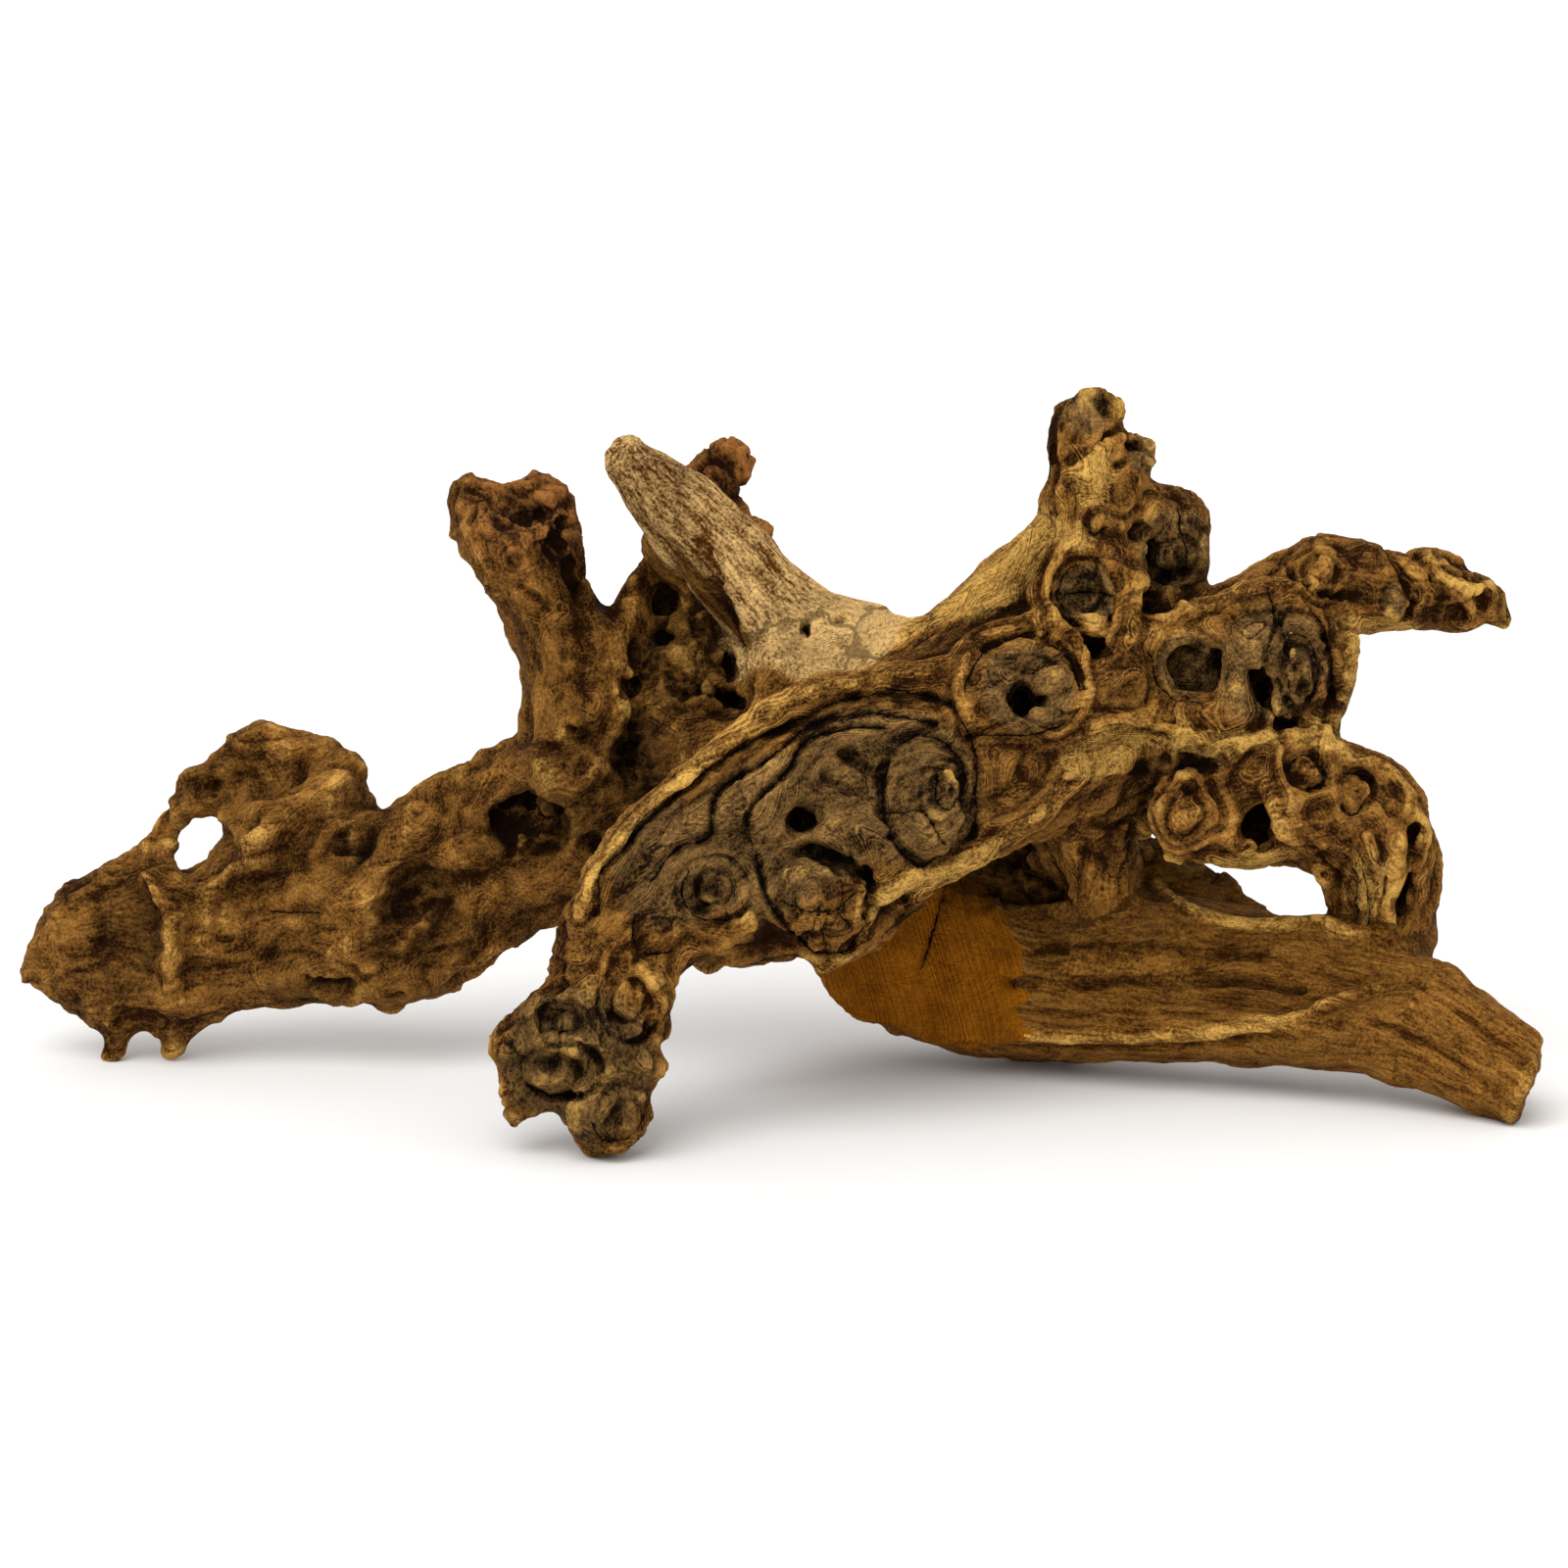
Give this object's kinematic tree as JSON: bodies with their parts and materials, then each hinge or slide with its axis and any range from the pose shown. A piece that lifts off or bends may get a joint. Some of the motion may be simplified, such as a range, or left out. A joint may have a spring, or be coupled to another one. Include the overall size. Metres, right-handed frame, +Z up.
{
  "type": "piece of driftwood",
  "caption": "Gnarled, sandblasted hardwood root with knotted limbs, a pale smooth limb and a sawn log, standing on small flats as an aquarium or terrarium ornament.",
  "frame": {"origin": "on the ground, under the middle of the wood's box", "axes": "+Z up, +X along the wood towards the sawn log's end, -Y towards the viewer of the front"},
  "size_m": [0.3926, 0.1292, 0.1781],
  "materials": {
    "wood": "sandblasted, matt, dark brown heartwood with golden ridges"
  },
  "bodies": {
    "root": {"driftwood": "wood"}
  },
  "joints": []
}
